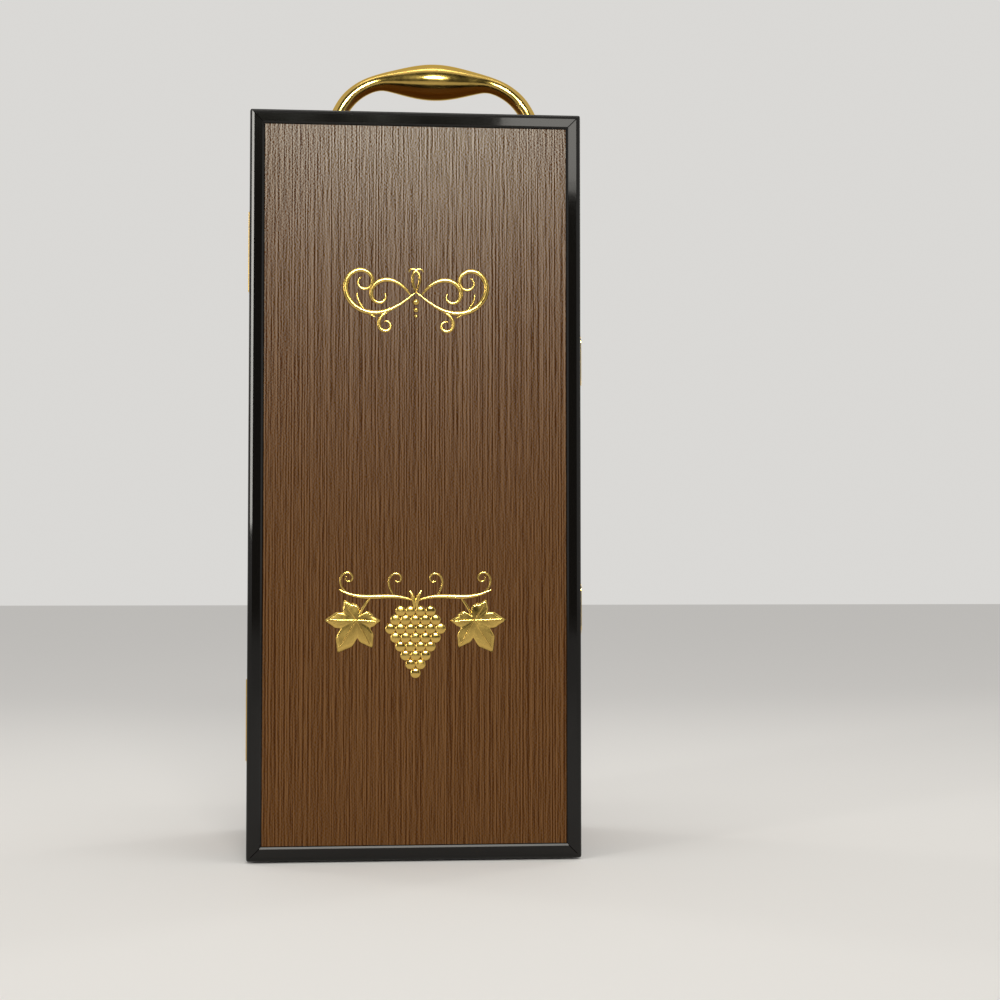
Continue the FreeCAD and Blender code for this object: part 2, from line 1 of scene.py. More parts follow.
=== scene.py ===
# %% [markdown]
# # Dressing a wine box
# The solids of this gift box come from a imported CAD model, which is the fixed frame of the picture: every
# piece already stands where it belongs. This lesson gives the solids their finishes, models the soft and
# decorated pieces that a solid can't show, and sets up the camera and the light. Loading comes first.

# %% Load the frame
import math

import bmesh
import bpy
from mathutils import Matrix, Vector


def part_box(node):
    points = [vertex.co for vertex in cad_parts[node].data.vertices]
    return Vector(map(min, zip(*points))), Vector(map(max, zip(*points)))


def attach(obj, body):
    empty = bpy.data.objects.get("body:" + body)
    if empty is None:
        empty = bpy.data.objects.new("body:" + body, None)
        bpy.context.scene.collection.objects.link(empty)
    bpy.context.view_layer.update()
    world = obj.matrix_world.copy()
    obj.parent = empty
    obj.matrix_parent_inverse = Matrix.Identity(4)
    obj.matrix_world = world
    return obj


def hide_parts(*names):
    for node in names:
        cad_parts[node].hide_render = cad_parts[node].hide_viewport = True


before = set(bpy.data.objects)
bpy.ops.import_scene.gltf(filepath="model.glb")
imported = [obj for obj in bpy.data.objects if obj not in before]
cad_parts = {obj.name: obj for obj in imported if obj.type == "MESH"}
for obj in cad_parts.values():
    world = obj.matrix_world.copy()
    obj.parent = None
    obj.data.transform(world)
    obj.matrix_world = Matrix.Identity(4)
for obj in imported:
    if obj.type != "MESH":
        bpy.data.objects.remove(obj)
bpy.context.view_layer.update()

MM = 0.001

# %% [markdown]
# ## The camera
# The photograph looks almost straight at the front, from a little left of the middle and from low down, so
# the upright edges lean slightly outwards. A camera is fitted to the four corners of the front, and the
# result is a place, a turn about the upright axis, a small tilt upwards and a long lens. A long lens keeps
# the box from looking stretched.

# %% Camera at the photograph's viewpoint
CAMERA_PLACE = (-0.0305, -0.8734, 0.1326)
CAMERA_TURN = math.radians(-4.85)
CAMERA_TILT = math.radians(92.27)
CAMERA_LENS = 64.08
SENSOR_WIDTH = 36.0

camera_data = bpy.data.cameras.new("front_camera")
camera_data.lens = CAMERA_LENS
camera_data.sensor_width = SENSOR_WIDTH
camera = bpy.data.objects.new("front_camera", camera_data)
camera.location = CAMERA_PLACE
camera.rotation_euler = (CAMERA_TILT, 0.0, CAMERA_TURN)
bpy.context.scene.collection.objects.link(camera)
bpy.context.scene.camera = camera
bpy.context.scene.view_settings.view_transform = "Standard"
print("camera:", CAMERA_PLACE, "lens", CAMERA_LENS)

# %% [markdown]
# ## Building materials from nodes
# Every finish below is procedural: patterns come from noise that is read in Object coordinates, which here
# are metres in the frame of the whole box. Small helpers keep the node code short: one starts a material
# with a Principled shader, one adds a node and links or sets its inputs, and the rest make common patterns.

# %% Helpers for materials
def plug(tree, value, socket):
    """Link a socket to an input, or set the input to a plain value."""
    if isinstance(value, bpy.types.NodeSocket):
        tree.links.new(value, socket)
    else:
        socket.default_value = value


def add(tree, kind, inputs=None, **settings):
    """Add a shader node, set its options and fill its inputs."""
    made = tree.nodes.new("ShaderNode" + kind)
    for name, value in settings.items():
        setattr(made, name, value)
    for name, value in (inputs or {}).items():
        plug(tree, value, made.inputs[name])
    return made


def new_finish(name, **shader_inputs):
    """A material whose Principled shader has these plain inputs."""
    material = bpy.data.materials.new(name)
    material.use_nodes = True
    tree = material.node_tree
    shader = tree.nodes["Principled BSDF"]
    for key, value in shader_inputs.items():
        shader.inputs[key.replace("_", " ")].default_value = value
    return material, tree, shader


def coordinates(tree, stretch=(1.0, 1.0, 1.0)):
    """Object coordinates in millimetres, divided by the size of a pattern along each axis."""
    place = add(tree, "TexCoord")
    scale = [1.0 / (MM * s) for s in stretch]
    mapping = add(tree, "Mapping", {"Vector": place.outputs["Object"], "Scale": scale})
    return mapping.outputs["Vector"]


def noise(tree, stretch, detail=2.0, rough=0.5):
    """Noise whose blobs have about these sizes in millimetres."""
    made = add(tree, "TexNoise", {"Vector": coordinates(tree, stretch), "Scale": 1.0,
                                  "Detail": detail, "Roughness": rough})
    return made.outputs["Fac"]


def spread(tree, value, low, high, to_low=0.0, to_high=1.0):
    """Stretch a part of a value's range over another range."""
    made = add(tree, "MapRange", {"Value": value, "From Min": low, "From Max": high,
                                  "To Min": to_low, "To Max": to_high})
    return made.outputs["Result"]


def blend_colours(tree, factor, first, second):
    """Mix two colours by a factor."""
    made = add(tree, "Mix", data_type="RGBA")
    plug(tree, factor, made.inputs[0])
    plug(tree, first, made.inputs[6])
    plug(tree, second, made.inputs[7])
    return made.outputs[2]


def tint(tree, shader, pattern, dark, light):
    """Base colour that a pattern shifts between a dark and a light shade."""
    plug(tree, blend_colours(tree, pattern, dark, light), shader.inputs["Base Color"])


def dull_in_places(tree, shader, pattern, middle, roughness):
    """Roughness that goes from its lower to its upper value over the middle of a pattern's range."""
    plug(tree, spread(tree, pattern, *middle, *roughness), shader.inputs["Roughness"])


def relief(tree, shader, height, depth):
    """Bump of a depth in millimetres on the shader's normal."""
    made = add(tree, "Bump", {"Height": height, "Distance": depth * MM, "Strength": 1.0})
    plug(tree, made.outputs["Normal"], shader.inputs["Normal"])


def dress(material, names):
    """Give CAD nodes a material."""
    for name in names:
        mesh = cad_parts[name].data
        mesh.materials.clear()
        mesh.materials.append(material)


SIDES = ("bottom", "left", "top", "right")
LEVELS = ("upper", "lower")

# %% [markdown]
# ## Black lacquer
# The mouldings of the door and the walls of the case are sprayed black and polished. Such a coat is nearly
# a mirror, so its own colour hardly matters, and its life comes from what it reflects. Two things keep it
# from looking like plastic in a computer: the surface is very slightly wavy, and here and there it is a
# little duller where hands have rubbed it.

# %% Black lacquer
LACQUER_BLACK = (0.005, 0.0044, 0.0038, 1.0)
RUBBED_PATCH = (35.0, 35.0, 60.0)
RUBBED_RANGE = (0.35, 0.75)
LACQUER_ROUGHNESS = (0.04, 0.08)
LACQUER_WAVE = (9.0, 9.0, 9.0)
LACQUER_WAVE_DEPTH = 0.012

black_lacquer, tree, shader = new_finish("black_lacquer", Base_Color=LACQUER_BLACK, IOR=1.36)
rubbed = noise(tree, RUBBED_PATCH, detail=3.0)
dull_in_places(tree, shader, rubbed, RUBBED_RANGE, LACQUER_ROUGHNESS)
relief(tree, shader, noise(tree, LACQUER_WAVE, detail=1.0), LACQUER_WAVE_DEPTH)
dress(black_lacquer, ["door_moulding_" + side for side in SIDES] + ["case_board_" + side for side in SIDES])
print("lacquered", black_lacquer.name)

# %% [markdown]
# ## Brushed laminate
# The panels are faced with a thin brown laminate that imitates a brushed, fine-grained board. Its grain is
# nothing but fine straight lines about a millimetre and a half apart, and it turns from brown to grey where
# light from above glances off it. A picture could give the lines, but three kinds of noise do it without
# one: long lines, stretched hundreds of times along the grain, shorter hairs, and flecks for the gloss. Plain
# noise also has broad swells, which would look like planks, so each kind has a copy of itself, moved half a
# wave aside, taken off it. Lines and hairs drive the colour and a shallow bump, and with the flecks they set
# the weight of a rough clear coat, which is what catches the light.

# %% Brushed laminate
DARK_GRAIN = (0.045, 0.0130, 0.0008, 1.0)
LIGHT_GRAIN = (0.134, 0.0510, 0.0040, 1.0)
STREAK_GAP = 0.7
STREAK_SHARE = 0.6
LINE_SIZE, LINE_WEIGHT = (0.6, 160.0), 0.6
HAIR_SIZE, HAIR_WEIGHT = (0.5, 13.0), 0.4
FLECK_SIZE, FLECK_WEIGHT = (0.5, 1.0), 0.6
GRAIN_RANGE = (-0.04, 0.44)
GLOSS_RANGE = (0.05, 0.58)
HEAVIEST_COAT = 0.72
GRAIN_DEPTH = 0.1


def weigh(tree, value, weight, onto=0.0):
    """A value times its weight, added to another value."""
    return add(tree, "Math", {0: value, 1: weight, 2: onto}, operation="MULTIPLY_ADD").outputs[0]


def streaks(tree, axis, width, length):
    """Flat noise whose streaks run along an axis, less its own neighbour, which leaves only fine streaks."""
    spot = add(tree, "SeparateXYZ", {0: coordinates(tree)}).outputs
    across = add(tree, "Math", {0: spot[axis - 1], 1: spot[axis - 2]}, operation="ADD").outputs[0]
    levels = []
    for shift in (STREAK_GAP, 0.0):
        place = add(tree, "CombineXYZ", {0: weigh(tree, across, 1.0 / width, shift / width),
                                         1: weigh(tree, spot[axis], 1.0 / length)}).outputs[0]
        levels.append(add(tree, "TexNoise", {"Vector": place, "Scale": 1.0, "Detail": 0.0},
                          noise_dimensions="2D").outputs["Fac"])
    return weigh(tree, levels[0], -STREAK_SHARE, levels[1])


def brushed_laminate(name, axis):
    """Laminate whose grain runs along one axis."""
    material, tree, shader = new_finish(name, Specular_IOR_Level=0.03, Roughness=0.6,
                                        Coat_Roughness=0.32, Coat_IOR=1.5)
    lines = weigh(tree, streaks(tree, axis, *LINE_SIZE), LINE_WEIGHT)
    grain = weigh(tree, streaks(tree, axis, *HAIR_SIZE), HAIR_WEIGHT, lines)
    gloss = weigh(tree, streaks(tree, axis, *FLECK_SIZE), FLECK_WEIGHT, grain)
    tint(tree, shader, spread(tree, grain, *GRAIN_RANGE), DARK_GRAIN, LIGHT_GRAIN)
    plug(tree, spread(tree, gloss, *GLOSS_RANGE, 0.0, HEAVIEST_COAT), shader.inputs["Coat Weight"])
    relief(tree, shader, grain, GRAIN_DEPTH)
    return material


UPRIGHT, SIDEWAYS = 2, 0
upright_laminate = brushed_laminate("brushed_laminate", UPRIGHT)
level_laminate = brushed_laminate("brushed_laminate_top", SIDEWAYS)
dress(upright_laminate, ["door_facing", "back_facing", "case_facing_left", "case_facing_right"])
dress(level_laminate, ["case_facing_top"])
print("faced five panels")

# %% [markdown]
# ## Gold plate
# Handle, hinges, hasps and ornaments are plated. Plated metal has hardly any colour of its own apart from
# its tinted reflection, so the base colour is the tint. A trace of roughness that varies keeps it from
# being a perfect mirror, and very fine scratches catch the light.

# %% Gold plate
GOLD = (0.64, 0.43, 0.115, 1.0)
GOLD_EDGE = (1.0, 0.84, 0.45, 1.0)
BRIGHTEST_GOLD = 0.13
DULLEST_PLATE = 0.24
DULLEST_RELIEF = 0.3
WEAR_PATCH = (6.0, 6.0, 6.0)
WEAR_RANGE = (0.3, 0.75)
SCRATCH = (3.0, 0.12, 0.12)
SCRATCH_DEPTH = 0.0012


def gold_finish(name, dullest):
    """Polished gold plate that is a little dull in places."""
    material, tree, shader = new_finish(name, Base_Color=GOLD, Metallic=1.0, Specular_Tint=GOLD_EDGE)
    wear = noise(tree, WEAR_PATCH, detail=4.0, rough=0.6)
    dull_in_places(tree, shader, wear, WEAR_RANGE, (BRIGHTEST_GOLD, dullest))
    relief(tree, shader, noise(tree, SCRATCH), SCRATCH_DEPTH)
    return material


gold_plate = gold_finish("gold_plate", DULLEST_PLATE)
gold_nodes = ["handle", "handle_collars"]
gold_nodes += ["hinge_screws_case", "hinge_screws_door", "hasp_screws_case", "hasp_screws_door"]
for level in LEVELS:
    gold_nodes += [level + "_hinge_" + part for part in ("case_leaf", "door_leaf", "pin")]
    gold_nodes += [level + part for part in ("_hasp", "_hasp_plate", "_hasp_pin", "_hasp_keeper")]
dress(gold_plate, gold_nodes)
print("gold nodes:", len(gold_nodes))

# %% [markdown]
# ## What lies under the finish
# The boards behind the laminate are fibreboard, the keys in the mitres are beech, and the handle is held
# from inside by zinc-plated bolts. Little of this shows, but the door stands open in some views.

# %% Fibreboard, beech and zinc
FIBRE, FIBRE_DEPTH = (1.2, 1.2, 1.2), 0.08
FIBRE_SHADES = (0.16, 0.10, 0.055, 1.0), (0.34, 0.23, 0.14, 1.0)
FLAKE, FLAKE_DEPTH = (0.6, 0.6, 6.0), 0.05
BEECH_SHADES = (0.42, 0.26, 0.13, 1.0), (0.58, 0.40, 0.23, 1.0)
ZINC = (0.62, 0.62, 0.60, 1.0)
ZINC_SPANGLE, ZINC_RANGE, ZINC_ROUGHNESS = (1.5, 1.5, 1.5), (0.3, 0.7), (0.25, 0.45)

fibreboard, tree, shader = new_finish("fibreboard", Roughness=0.85)
fibres = noise(tree, FIBRE, detail=5.0, rough=0.7)
tint(tree, shader, fibres, *FIBRE_SHADES)
relief(tree, shader, fibres, FIBRE_DEPTH)
beech, tree, shader = new_finish("beech", Roughness=0.6)
flakes = noise(tree, FLAKE, detail=3.0)
tint(tree, shader, flakes, *BEECH_SHADES)
relief(tree, shader, flakes, FLAKE_DEPTH)
zinc_steel, tree, shader = new_finish("zinc_steel", Base_Color=ZINC, Metallic=1.0)
dull_in_places(tree, shader, noise(tree, ZINC_SPANGLE, detail=4.0), ZINC_RANGE, ZINC_ROUGHNESS)
dress(fibreboard, ["door_board", "back_board"])
dress(beech, ["door_corner_keys", "case_corner_keys"])
dress(zinc_steel, ["handle_bolts", "handle_washers"])
print("boards, keys and bolts finished")

# %% [markdown]
# ## Gold relief on the door
# The door carries two thin gilt reliefs, pressed from metal and glued to the laminate: a pen flourish above
# and a sprig of vine below. A pen stroke is a line that swells and thins and whose bend changes evenly,
# so each stroke is described by where it starts, its heading, its length and how sharply it bends at even
# stages along it. A curve with a round bevel and a radius at each point gives the stroke its body, and
# flattening and cutting it at the panel leaves a low rounded ridge.

# %% Pen strokes
STROKE_STEPS = 56
STROKE_FLATNESS = 0.62
STROKE_SWELL = 0.8
THINNEST = 0.26
STROKE_WELD = 1e-4


def pen_line(start, heading, length, bends):
    """Points of a stroke, in millimetres, whose bend is given in degrees a millimetre at even stages."""
    points = [Vector(start)]
    angle = math.radians(heading)
    step = length / STROKE_STEPS
    for i in range(STROKE_STEPS):
        stage = (i + 0.5) / STROKE_STEPS * (len(bends) - 1)
        first = min(int(stage), len(bends) - 2)
        bend = bends[first] + (bends[first + 1] - bends[first]) * (stage - first)
        angle += math.radians(bend) * step
        points.append(points[-1] + Vector((math.cos(angle), math.sin(angle))) * step)
    return points


def stroke_mesh(name, strokes):
    """One mesh of strokes and their mirror images; a stroke ends with its half width and its lift."""
    pen = bpy.data.curves.new(name, "CURVE")
    pen.dimensions = "3D"
    pen.bevel_depth = 1.0
    pen.bevel_resolution = 4
    pen.use_fill_caps = True
    for start, heading, length, bends, half, lift in strokes:
        line = pen_line(start, heading, length, bends)
        for way in (1, -1):
            spline = pen.splines.new("POLY")
            spline.points.add(len(line) - 1)
            for i, (spot, target) in enumerate(zip(line, spline.points)):
                swell = math.sin(math.pi * i / (len(line) - 1)) ** STROKE_SWELL
                target.co = (way * spot.x, spot.y, lift, 1.0)
                target.radius = THINNEST + half * swell
    holder = bpy.data.objects.new(name, pen)
    bpy.context.scene.collection.objects.link(holder)
    drawn = holder.evaluated_get(bpy.context.evaluated_depsgraph_get())
    mesh = bpy.data.meshes.new_from_object(drawn)
    bpy.data.objects.remove(holder)
    return mesh


print("a stroke has", STROKE_STEPS, "steps")

# %% Domes and leaves
MERGE = 1e-4
DOME_SEGMENTS = 28
LEAF_LOBES = ((0.0, 1.0, 0.62), (1.05, 0.86, 0.58), (2.05, 0.66, 0.6))
LEAF_CUT = 0.52
LEAF_POINT = 1.15
LEAF_NOTCH = 0.5
LEAF_NOTCH_DEPTH = 0.65
LEAF_TOOTH = 0.05
LEAF_TEETH = 9
LEAF_STEPS = 160
LEAF_RINGS = 6
LEAF_RISE = 0.42
LEAF_EDGE = 0.2


def add_dome(metal, x, y, radius, rise):
    """A low dome on the panel."""
    shape = Matrix.Translation((x, y, 0.0)) @ Matrix.Diagonal((1.0, 1.0, rise / radius, 1.0))
    bmesh.ops.create_uvsphere(metal, u_segments=DOME_SEGMENTS, v_segments=DOME_SEGMENTS // 2,
                              radius=radius, matrix=shape)


def leaf_reach(angle):
    """Share of a vine leaf's length from its stalk to its edge, in a direction measured from its tip."""
    reach = 0.0
    for place, tip, width in LEAF_LOBES:
        away = min(abs(angle - place), abs(angle + place))
        reach = max(reach, tip * (1.0 - LEAF_CUT * min(1.0, away / width) ** LEAF_POINT))
    notch = max(0.0, 1.0 - (math.pi - abs(angle)) / LEAF_NOTCH)
    return reach * (1.0 - LEAF_NOTCH_DEPTH * notch) - LEAF_TOOTH * abs(math.sin(angle * LEAF_TEETH))


def add_leaf(metal, x, y, length, turn, way):
    """A vine leaf: a disc of rings that is spun from one radius and then drawn out to the leaf's edge."""
    leaf = bmesh.new()
    row = [leaf.verts.new((i / LEAF_RINGS, 0.0, LEAF_RISE)) for i in range(LEAF_RINGS + 1)]
    row.append(leaf.verts.new((1.0, 0.0, 0.0)))
    edges = [leaf.edges.new(pair) for pair in zip(row, row[1:])]
    bmesh.ops.spin(leaf, geom=row + edges, cent=(0, 0, 0), axis=(0, 0, 1), angle=2 * math.pi,
                   steps=LEAF_STEPS, use_merge=True)
    bmesh.ops.remove_doubles(leaf, verts=leaf.verts, dist=MERGE)
    for vert in leaf.verts:
        share = vert.co.xy.length
        angle = math.atan2(vert.co.y, vert.co.x)
        reach = share * leaf_reach(angle) * length
        if vert.co.z > 0:
            vert.co.z = LEAF_RISE - (LEAF_RISE - LEAF_EDGE) * share ** 3
        vert.co.x = x + reach * math.cos(angle + turn)
        vert.co.y = y + reach * math.sin(angle + turn)
        vert.co.x *= way
    mesh = bpy.data.meshes.new("leaf")
    leaf.to_mesh(mesh)
    leaf.free()
    metal.from_mesh(mesh)
    bpy.data.meshes.remove(mesh)


print("leaf edge reaches", round(leaf_reach(0.0), 2), "of its length at the tip")

# %% Pressing and keeping a piece
CUT_MARGIN = 1e-5


def press(name, metal, middle):
    """Weld the ends of a relief's strokes, cut it at the panel, close its back and put it on the door."""
    bmesh.ops.remove_doubles(metal, verts=metal.verts, dist=STROKE_WELD)
    everything = list(metal.verts) + list(metal.edges) + list(metal.faces)
    bmesh.ops.bisect_plane(metal, geom=everything, dist=CUT_MARGIN, plane_co=(0, 0, 0),
                           plane_no=(0, 0, 1), clear_inner=True)
    bmesh.ops.holes_fill(metal, edges=[e for e in metal.edges if e.is_boundary], sides=0)
    bmesh.ops.recalc_face_normals(metal, faces=metal.faces)
    stand_up = Matrix.Rotation(math.radians(90), 4, "X")
    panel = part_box("door_facing")[0].y
    spot = Matrix.Translation((middle[0] * MM, panel, middle[1] * MM))
    bmesh.ops.transform(metal, verts=metal.verts, matrix=spot @ stand_up @ Matrix.Scale(MM, 4))
    return keep(name, metal, gold_relief, "door")


def keep(name, shape, material, body):
    """Turn a bmesh into a smooth-shaded piece that rides on a body."""
    mesh = bpy.data.meshes.new(name)
    shape.to_mesh(mesh)
    shape.free()
    mesh.materials.append(material)
    mesh.shade_smooth()
    piece = bpy.data.objects.new(name, mesh)
    bpy.context.scene.collection.objects.link(piece)
    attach(piece, body)
    return piece


gold_relief = gold_finish("gold_relief", DULLEST_RELIEF)
print("reliefs are finished in", gold_relief.name)

# %% Flourish
FLOURISH_MIDDLE = (0.0, 260.5)
FLOURISH_STROKES = (
    ((0.0, 0.5), -38, 76, (-0.6, 3.3, 4.9, 10, 22), 1.0, 0.0),
    ((2.0, -1.8), 58, 38, (-1.6, -5.5, -10.5, -24), 0.85, 0.0),
    ((10.0, -7.2), -25, 24, (1, -9, -22, -29), 0.6, 0.0),
    ((0.0, 0.5), 70, 15, (-2, 6, 13, 40), 0.5, 0.0),
    ((18.5, -11.3), 22, 15, (3, 4.5, 5.5), 0.4, 0.0),
)
FLOURISH_PEARLS = ((-4.2, 1.5), (-7.9, 1.15), (-10.7, 0.8))
PEARL_RISE = 0.7

metal = bmesh.new()
metal.from_mesh(stroke_mesh("flourish_strokes", FLOURISH_STROKES))
bmesh.ops.scale(metal, verts=metal.verts, vec=(1.0, 1.0, STROKE_FLATNESS))
for height, radius in FLOURISH_PEARLS:
    add_dome(metal, 0.0, height, radius, PEARL_RISE * radius)
flourish = press("gold_flourish", metal, FLOURISH_MIDDLE)
print("flourish:", len(flourish.data.polygons), "faces")

# %% Vine sprig
VINE_MIDDLE = (0.0, 105.5)
GRAPE_ROWS = (4, 5, 6, 5, 4, 3, 2, 1)
GRAPE_RADIUS = 2.45
GRAPE_PITCH = (4.6, 4.05)
GRAPES_TOP = 8.6
GRAPE_RISE = 0.78
GRAPE_FALL = 0.06
VINE_STROKES = (
    ((0.0, 13.0), 24, 36, (-2.4, -1.4, 1.8, 2.6), 0.8, 0.0),
    ((0.55, 9.5), 92, 9, (-2, -7), 0.75, 0.0),
    ((30.0, 16.4), 24, 23, (5, 11, 24, 44), 0.24, 0.0),
    ((10.0, 15.6), 62, 20, (-2, 10, 22, 42), 0.24, 0.0),
    ((20.0, 15.2), -40, 13, (-5, -1, 2), 0.45, 0.0),
)
LEAF_PLACE = (27.0, 4.4)
LEAF_LENGTH = 17.0
LEAF_TURN = -60
LEAF_VEINS = ((0.0, 0.88), (60.0, 0.74), (-60.0, 0.74), (117.0, 0.52), (-117.0, 0.52))
VEIN_BENDS, VEIN_HALF, VEIN_LIFT = (0.0, 0.8), 0.16, 0.62

veins = tuple((LEAF_PLACE, LEAF_TURN + turn, LEAF_LENGTH * reach, VEIN_BENDS, VEIN_HALF, VEIN_LIFT)
              for turn, reach in LEAF_VEINS)
metal = bmesh.new()
metal.from_mesh(stroke_mesh("vine_strokes", VINE_STROKES + veins))
bmesh.ops.scale(metal, verts=metal.verts, vec=(1.0, 1.0, STROKE_FLATNESS))
for way in (1, -1):
    add_leaf(metal, *LEAF_PLACE, LEAF_LENGTH, math.radians(LEAF_TURN), way)
for row, count in enumerate(GRAPE_ROWS):
    for i in range(count):
        aside = i - (count - 1) / 2
        add_dome(metal, aside * GRAPE_PITCH[0], GRAPES_TOP - row * GRAPE_PITCH[1], GRAPE_RADIUS,
                 GRAPE_RISE - GRAPE_FALL * abs(aside))
vine = press("gold_vine", metal, VINE_MIDDLE)
print("vine:", len(vine.data.polygons), "faces")

# %% [markdown]
# ## Satin pad in the door
# A thin foam pad under satin lines the inside of the door. It is glued along its back and swells towards the
# bottle. The pad could be a lofted solid, but cloth shows its puckers only when it is let to settle, so a
# slab of small squares is blown up by a cloth simulation. Its back is glued to the board, the cloth is cut a
# little too large so that it gathers along the rim, and no point may move farther than the foam is thick.

# %% Satin
# The satin's dyed colour, and a paler shade that is painted sheen laid over it in large patches.
SATIN_AND_SHEEN_SHADES = (0.50, 0.33, 0.125, 1.0), (0.66, 0.47, 0.21, 1.0)
PAINTED_SHEEN_PATCH = (14.0, 14.0, 30.0)
THREAD, THREAD_WANDER, THREAD_DEPTH = (0.45, 0.45, 0.45), 0.4, 0.03

satin, tree, shader = new_finish("satin", Sheen_Weight=0.2, Sheen_Roughness=0.4, Roughness=0.5)
threads = add(tree, "TexWave", {"Vector": coordinates(tree, THREAD), "Scale": 1.0,
                                "Distortion": THREAD_WANDER}, bands_direction="Z")
# Painted sheen: the base colour turns paler in patches.
tint(tree, shader, noise(tree, PAINTED_SHEEN_PATCH, detail=3.0), *SATIN_AND_SHEEN_SHADES)
relief(tree, shader, threads.outputs["Fac"], THREAD_DEPTH)
print("satin woven")

# %% Pad, blown up by a cloth simulation
PAD_CELL = 3.0
PAD_CORNER = 6.0
PAD_RIM = 3.2
PAD_FRAMES = 22
PAD_PRESSURE = 5.0
PAD_SPARE_CLOTH = 0.035


def round_corner(place, half, radius):
    """Move a point of a square-cornered sheet so that the sheet's corners become round."""
    over = Vector((abs(place.x) - half.x + radius, abs(place.y) - half.y + radius))
    if min(over) <= 0:
        return place
    shrink = max(over) / over.length
    return Vector((math.copysign(half.x - radius + over.x * shrink, place.x),
                   math.copysign(half.y - radius + over.y * shrink, place.y)))


def pad_slab(low, high):
    """Closed slab of small squares with round corners, as thick as the rim of the pad."""
    half = Vector((high.x - low.x, high.z - low.z)) / 2
    middle = (low + high) / 2
    cells = [max(2, round(2 * h / (PAD_CELL * MM))) for h in half]
    slab = bmesh.new()
    bmesh.ops.create_grid(slab, x_segments=cells[0], y_segments=cells[1], size=1.0)
    for vert in slab.verts:
        spot = round_corner(Vector((vert.co.x * half.x, vert.co.y * half.y)), half, PAD_CORNER * MM)
        vert.co = (middle.x + spot.x, low.y, middle.z + spot.y)
    grown = bmesh.ops.extrude_face_region(slab, geom=list(slab.faces))
    front = [v for v in grown["geom"] if isinstance(v, bmesh.types.BMVert)]
    bmesh.ops.translate(slab, verts=front, vec=(0.0, PAD_RIM * MM, 0.0))
    bmesh.ops.recalc_face_normals(slab, faces=slab.faces)
    return slab


def settle(piece, frames):
    """Run the cloth on a piece and return where its points come to rest."""
    scene = bpy.context.scene
    for moment in range(1, frames + 1):
        scene.frame_set(moment)
    settled = piece.evaluated_get(bpy.context.evaluated_depsgraph_get())
    places = [v.co.copy() for v in settled.data.vertices]
    scene.frame_set(1)
    return places


def blow_up(piece, glued, thickest):
    """Inflate a slab whose glued points stay, and keep every point within the foam's thickness."""
    piece.vertex_groups.new(name="glued").add(glued, 1.0, "REPLACE")
    cloth = piece.modifiers.new("inflate", "CLOTH")
    cloth.settings.quality = 6
    cloth.settings.mass = 0.15
    cloth.settings.tension_stiffness = 12.0
    cloth.settings.compression_stiffness = 12.0
    cloth.settings.bending_stiffness = 0.1
    cloth.settings.use_pressure = True
    cloth.settings.uniform_pressure_force = PAD_PRESSURE
    cloth.settings.shrink_min = -PAD_SPARE_CLOTH
    cloth.settings.vertex_group_mass = "glued"
    cloth.settings.effector_weights.gravity = 0.0
    cloth.collision_settings.use_self_collision = False
    places = settle(piece, PAD_FRAMES)
    piece.modifiers.remove(cloth)
    for vert, place in zip(piece.data.vertices, places):
        move = place - vert.co
        vert.co += move * min(1.0, thickest / max(move.length, 1e-9))


pad_low, pad_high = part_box("door_pad")
pad = keep("satin_pad", pad_slab(pad_low, pad_high), satin, "door")
glued = [v.index for v in pad.data.vertices if v.co.y < pad_low.y + PAD_RIM * MM / 2]
blow_up(pad, glued, pad_high.y - pad_low.y - PAD_RIM * MM)
soften = pad.modifiers.new("soften", "SUBSURF")
soften.levels = soften.render_levels = 1
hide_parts("door_pad")
print("pad:", len(pad.data.polygons), "faces, highest point", max(v.co.y for v in pad.data.vertices))

# %% [markdown]
# ## Flocked tray
# The bottle lies in a block of foam with a recess of its own shape, covered with short brown fibres. The
# solid already has the recess, but its edges are those of a machined block. A voxel remesh turns a copy of
# it into an even skin, and a few rounds of smoothing then soften every edge as flocking does.

# %% Flocked tray
TRAY_VOXEL = 2.2
TRAY_SMOOTHING = 4
WELD = 1e-6
FLOCK_SHADES = (0.018, 0.008, 0.005, 1.0), (0.042, 0.020, 0.012, 1.0)
FLOCK_SHEEN = (0.42, 0.22, 0.13, 1.0)
NAP_PATCH = (18.0, 18.0, 24.0)
FLOCK_FIBRE, FLOCK_DEPTH = (0.35, 0.35, 0.35), 0.22

flock, tree, shader = new_finish("flocked_foam", Roughness=0.95, Specular_IOR_Level=0.15,
                                 Sheen_Weight=0.2, Sheen_Roughness=0.5, Sheen_Tint=FLOCK_SHEEN)
tint(tree, shader, noise(tree, NAP_PATCH, detail=3.0, rough=0.6), *FLOCK_SHADES)
relief(tree, shader, noise(tree, FLOCK_FIBRE), FLOCK_DEPTH)


def softened_copy(name, node, voxel, rounds):
    """Bmesh of an even, smoothed skin over a copy of a CAD node."""
    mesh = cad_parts[node].data.copy()
    skin = bmesh.new()
    skin.from_mesh(mesh)
    bmesh.ops.remove_doubles(skin, verts=skin.verts, dist=WELD)
    skin.to_mesh(mesh)
    skin.clear()
    holder = bpy.data.objects.new(name, mesh)
    bpy.context.scene.collection.objects.link(holder)
    remesh = holder.modifiers.new("even_skin", "REMESH")
    remesh.mode = "VOXEL"
    remesh.voxel_size = voxel * MM
    skin.from_object(holder, bpy.context.evaluated_depsgraph_get())
    bpy.data.objects.remove(holder)
    for _ in range(rounds):
        bmesh.ops.smooth_vert(skin, verts=skin.verts, factor=0.5, use_axis_x=True,
                              use_axis_y=True, use_axis_z=True)
    return skin


tray_skin = softened_copy("tray_skin", "bottle_tray", TRAY_VOXEL, TRAY_SMOOTHING)
tray = keep("flocked_tray", tray_skin, flock, "case")
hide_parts("bottle_tray")
print("tray:", len(tray.data.polygons), "faces")

